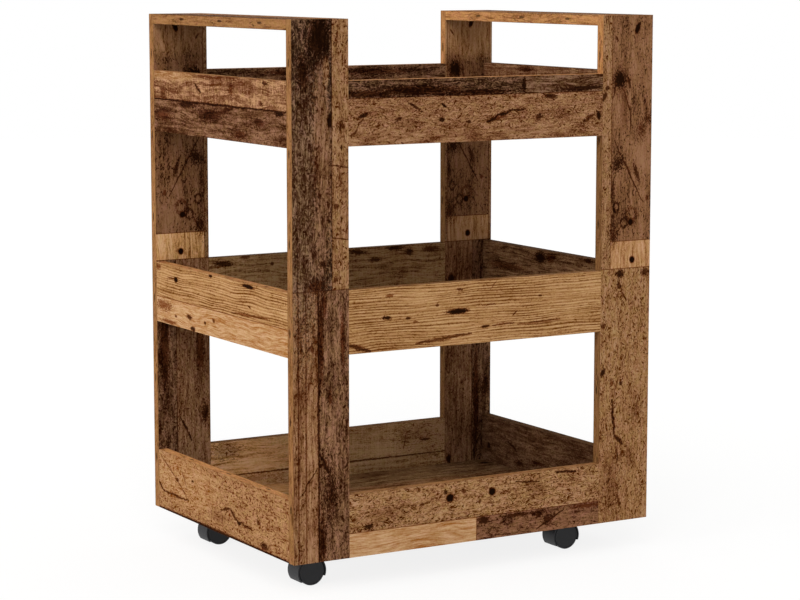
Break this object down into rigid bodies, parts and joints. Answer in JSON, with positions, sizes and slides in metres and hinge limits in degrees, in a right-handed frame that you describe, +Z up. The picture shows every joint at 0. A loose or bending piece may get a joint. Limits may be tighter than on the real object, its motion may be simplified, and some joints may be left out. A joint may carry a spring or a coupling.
{
  "type": "kitchen cart",
  "caption": "Kitchen cart with railed open trays between flat plank-print posts, a handle board at each end and black twin-wheel swivel casters.",
  "frame": {"origin": "on the floor under the centre of the cart", "axes": "+X across the front to the right, +Y from front to rear, +Z up"},
  "size_m": [0.6, 0.45, 0.8],
  "materials": {
    "post_boards": "satin printed foil on engineered wood, dark reclaimed planks",
    "handle_boards": "satin printed foil on engineered wood, tan",
    "top_tray_boards": "satin printed foil on engineered wood, dark and tan planks",
    "middle_tray_boards": "satin printed foil on engineered wood, golden pine planks",
    "bottom_tray_boards": "satin printed foil on engineered wood, tan planks",
    "shelf_boards": "satin printed foil on engineered wood, tan planks",
    "dowel_beech": "bare turned beech",
    "zinc_fittings": "zinc plated",
    "caster_steel": "zinc plated",
    "caster_housing_plastic": "moulded black nylon",
    "caster_wheel_plastic": "moulded black nylon"
  },
  "bodies": {
    "cart": {"post_front_left": "post_boards", "post_front_right": "post_boards", "post_rear_left": "post_boards", "post_rear_right": "post_boards", "handle_board_left": "handle_boards", "handle_board_right": "handle_boards", "top_front_rail": "top_tray_boards", "top_rear_rail": "top_tray_boards", "top_left_rail": "top_tray_boards", "top_right_rail": "top_tray_boards", "middle_front_rail": "middle_tray_boards", "middle_rear_rail": "middle_tray_boards", "middle_left_rail": "middle_tray_boards", "middle_right_rail": "middle_tray_boards", "bottom_front_rail": "bottom_tray_boards", "bottom_rear_rail": "bottom_tray_boards", "bottom_left_rail": "bottom_tray_boards", "bottom_right_rail": "bottom_tray_boards", "top_shelf": "shelf_boards", "middle_shelf": "shelf_boards", "bottom_shelf": "shelf_boards", "wood_dowels": "dowel_beech", "cam_bolts": "zinc_fittings", "cam_discs": "zinc_fittings", "caster_screws": "zinc_fittings", "swivel_clips": "zinc_fittings", "front_left_plate": "caster_steel", "front_right_plate": "caster_steel", "rear_left_plate": "caster_steel", "rear_right_plate": "caster_steel", "front_left_swivel_pin": "caster_steel", "front_right_swivel_pin": "caster_steel", "rear_left_swivel_pin": "caster_steel", "rear_right_swivel_pin": "caster_steel"},
    "front_left_caster": {"front_left_housing": "caster_housing_plastic", "front_left_axle": "caster_steel"},
    "front_left_wheel_fore": {"front_left_wheel_fore": "caster_wheel_plastic"},
    "front_left_wheel_aft": {"front_left_wheel_aft": "caster_wheel_plastic"},
    "front_right_caster": {"front_right_housing": "caster_housing_plastic", "front_right_axle": "caster_steel"},
    "front_right_wheel_fore": {"front_right_wheel_fore": "caster_wheel_plastic"},
    "front_right_wheel_aft": {"front_right_wheel_aft": "caster_wheel_plastic"},
    "rear_left_caster": {"rear_left_housing": "caster_housing_plastic", "rear_left_axle": "caster_steel"},
    "rear_left_wheel_fore": {"rear_left_wheel_fore": "caster_wheel_plastic"},
    "rear_left_wheel_aft": {"rear_left_wheel_aft": "caster_wheel_plastic"},
    "rear_right_caster": {"rear_right_housing": "caster_housing_plastic", "rear_right_axle": "caster_steel"},
    "rear_right_wheel_fore": {"rear_right_wheel_fore": "caster_wheel_plastic"},
    "rear_right_wheel_aft": {"rear_right_wheel_aft": "caster_wheel_plastic"}
  },
  "joints": [
    {"name": "front_left_swivel", "type": "hinge", "parent": "cart", "child": "front_left_caster", "pos_m": [-0.218, -0.1455, 0.048], "axis": [0, 0, 1], "continuous": true},
    {"name": "front_left_wheel_fore_spin", "type": "hinge", "parent": "front_left_caster", "child": "front_left_wheel_fore", "pos_m": [-0.237, -0.1455, 0.02], "axis": [0, 1, 0], "continuous": true},
    {"name": "front_left_wheel_aft_spin", "type": "hinge", "parent": "front_left_caster", "child": "front_left_wheel_aft", "pos_m": [-0.237, -0.1455, 0.02], "axis": [0, 1, 0], "continuous": true},
    {"name": "front_right_swivel", "type": "hinge", "parent": "cart", "child": "front_right_caster", "pos_m": [0.218, -0.1455, 0.048], "axis": [0, 0, 1], "continuous": true},
    {"name": "front_right_wheel_fore_spin", "type": "hinge", "parent": "front_right_caster", "child": "front_right_wheel_fore", "pos_m": [0.199, -0.1455, 0.02], "axis": [0, 1, 0], "continuous": true},
    {"name": "front_right_wheel_aft_spin", "type": "hinge", "parent": "front_right_caster", "child": "front_right_wheel_aft", "pos_m": [0.199, -0.1455, 0.02], "axis": [0, 1, 0], "continuous": true},
    {"name": "rear_left_swivel", "type": "hinge", "parent": "cart", "child": "rear_left_caster", "pos_m": [-0.218, 0.1455, 0.048], "axis": [0, 0, 1], "continuous": true},
    {"name": "rear_left_wheel_fore_spin", "type": "hinge", "parent": "rear_left_caster", "child": "rear_left_wheel_fore", "pos_m": [-0.237, 0.1455, 0.02], "axis": [0, 1, 0], "continuous": true},
    {"name": "rear_left_wheel_aft_spin", "type": "hinge", "parent": "rear_left_caster", "child": "rear_left_wheel_aft", "pos_m": [-0.237, 0.1455, 0.02], "axis": [0, 1, 0], "continuous": true},
    {"name": "rear_right_swivel", "type": "hinge", "parent": "cart", "child": "rear_right_caster", "pos_m": [0.218, 0.1455, 0.048], "axis": [0, 0, 1], "continuous": true},
    {"name": "rear_right_wheel_fore_spin", "type": "hinge", "parent": "rear_right_caster", "child": "rear_right_wheel_fore", "pos_m": [0.199, 0.1455, 0.02], "axis": [0, 1, 0], "continuous": true},
    {"name": "rear_right_wheel_aft_spin", "type": "hinge", "parent": "rear_right_caster", "child": "rear_right_wheel_aft", "pos_m": [0.199, 0.1455, 0.02], "axis": [0, 1, 0], "continuous": true}
  ]
}
